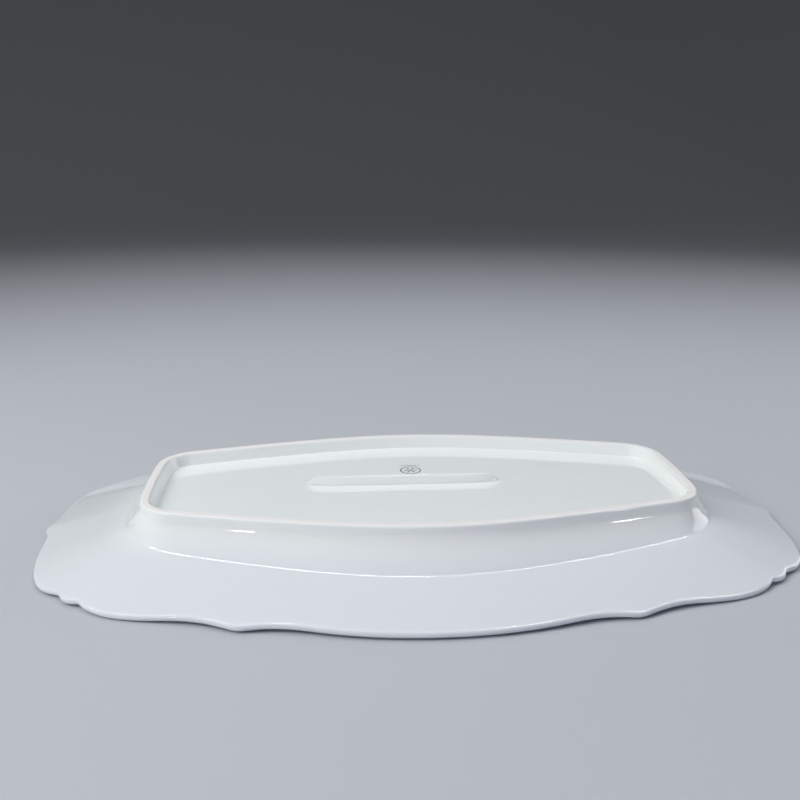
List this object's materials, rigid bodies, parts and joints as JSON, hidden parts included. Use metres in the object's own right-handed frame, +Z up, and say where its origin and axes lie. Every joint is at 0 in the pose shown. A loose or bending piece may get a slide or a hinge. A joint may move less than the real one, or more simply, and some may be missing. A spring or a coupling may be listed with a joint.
{
  "type": "serving platter",
  "caption": "Long scalloped porcelain serving platter shown face down, with a bowed foot ring, a long support foot inside it and a small plain back mark.",
  "frame": {"origin": "on the table plane under the middle of the platter, which lies face down on its rim", "axes": "+X along the length, +Y across it, +Z up from the table to the bearing face of the foot ring; turn half a turn about X to serve from it"},
  "size_m": [0.406, 0.248, 0.0324],
  "materials": {
    "glazed_porcelain": "clear glossy glaze over white porcelain",
    "foot_porcelain": "glossy glaze on the sides, bare matte bearing face",
    "stamp_ink": "grey-green print under the glaze"
  },
  "bodies": {
    "root": {"dish": "glazed_porcelain", "foot_ring": "foot_porcelain", "centre_foot": "glazed_porcelain", "back_stamp": "stamp_ink"}
  },
  "joints": []
}
